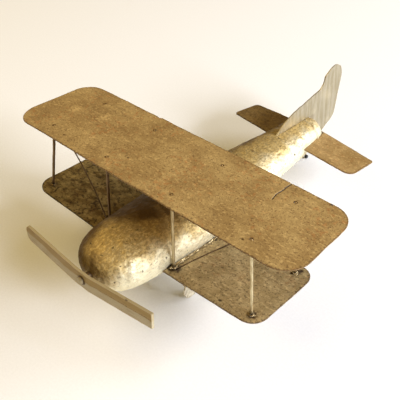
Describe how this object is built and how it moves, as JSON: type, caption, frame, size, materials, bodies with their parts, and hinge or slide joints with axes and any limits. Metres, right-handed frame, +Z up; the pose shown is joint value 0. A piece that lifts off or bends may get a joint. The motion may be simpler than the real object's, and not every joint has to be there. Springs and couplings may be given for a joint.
{
  "type": "model biplane",
  "caption": "Soldered sheet-metal display biplane: hollow oval body, stacked wings on rod struts, bar propeller spinning on a pin, disc wheels on an axle, tall fin and a ball-tipped tail skid.",
  "frame": {"origin": "on the floor, under the centre of the whole object's bounding box, standing on its wheels and tail ball", "axes": "-Y is the direction the nose points, +Z is up, +X is toward the wing on the right when looking along +Y from in front of the nose; the airframe is pitched nose-up about X by the standing angle"},
  "size_m": [0.3966, 0.4582, 0.1604],
  "materials": {
    "body_metal": "hammered, silvery brass wash, semi-gloss",
    "wing_patina": "mottled bronze patina with rust specks, satin",
    "dark_patina": "darker bronze patina, satin",
    "fin_metal": "pale champagne wash, grooved, semi-gloss",
    "rod_steel": "drawn rod, tarnished",
    "solder": "rough solder, bright and heat-darkened",
    "bar_metal": "flat bar, bronze patina with worn edges",
    "wheel_metal": "pale worn disc, satin",
    "black_tip": "black, dull"
  },
  "bodies": {
    "airframe": {"fuselage_shell": "body_metal", "upper_wing": "wing_patina", "lower_wing_right": "dark_patina", "lower_wing_left": "dark_patina", "wing_seam_right": "solder", "wing_seam_left": "solder", "strut_outer_front_right": "rod_steel", "strut_outer_front_left": "rod_steel", "strut_outer_rear_right": "rod_steel", "strut_outer_rear_left": "rod_steel", "strut_inner_front_right": "rod_steel", "strut_inner_front_left": "rod_steel", "strut_inner_rear_right": "rod_steel", "strut_inner_rear_left": "rod_steel", "brace_wire_right": "rod_steel", "brace_wire_left": "rod_steel", "strut_solder": "solder", "tail_fin": "fin_metal", "stabiliser_right": "dark_patina", "stabiliser_left": "dark_patina", "propeller_pin": "rod_steel", "hub_washer": "rod_steel", "spacer_tube": "rod_steel", "gear_leg_right": "rod_steel", "gear_leg_left": "rod_steel", "gear_axle": "rod_steel", "gear_solder": "solder", "axle_collars": "rod_steel", "tail_skid": "rod_steel", "skid_tip": "black_tip"},
    "propeller": {"propeller_blade": "bar_metal"},
    "wheel_right": {"wheel_right": "wheel_metal"},
    "wheel_left": {"wheel_left": "wheel_metal"}
  },
  "joints": [
    {"name": "propeller_spin", "type": "hinge", "parent": "airframe", "child": "propeller", "pos_m": [0, -0.22465, 0.0782], "axis": [0, 0.9949, -0.1006], "continuous": true},
    {"name": "wheel_right_spin", "type": "hinge", "parent": "airframe", "child": "wheel_right", "pos_m": [0.049, -0.12358, 0.0122], "axis": [1, 0, 0], "continuous": true},
    {"name": "wheel_left_spin", "type": "hinge", "parent": "airframe", "child": "wheel_left", "pos_m": [-0.049, -0.12358, 0.0122], "axis": [1, 0, 0], "continuous": true}
  ]
}
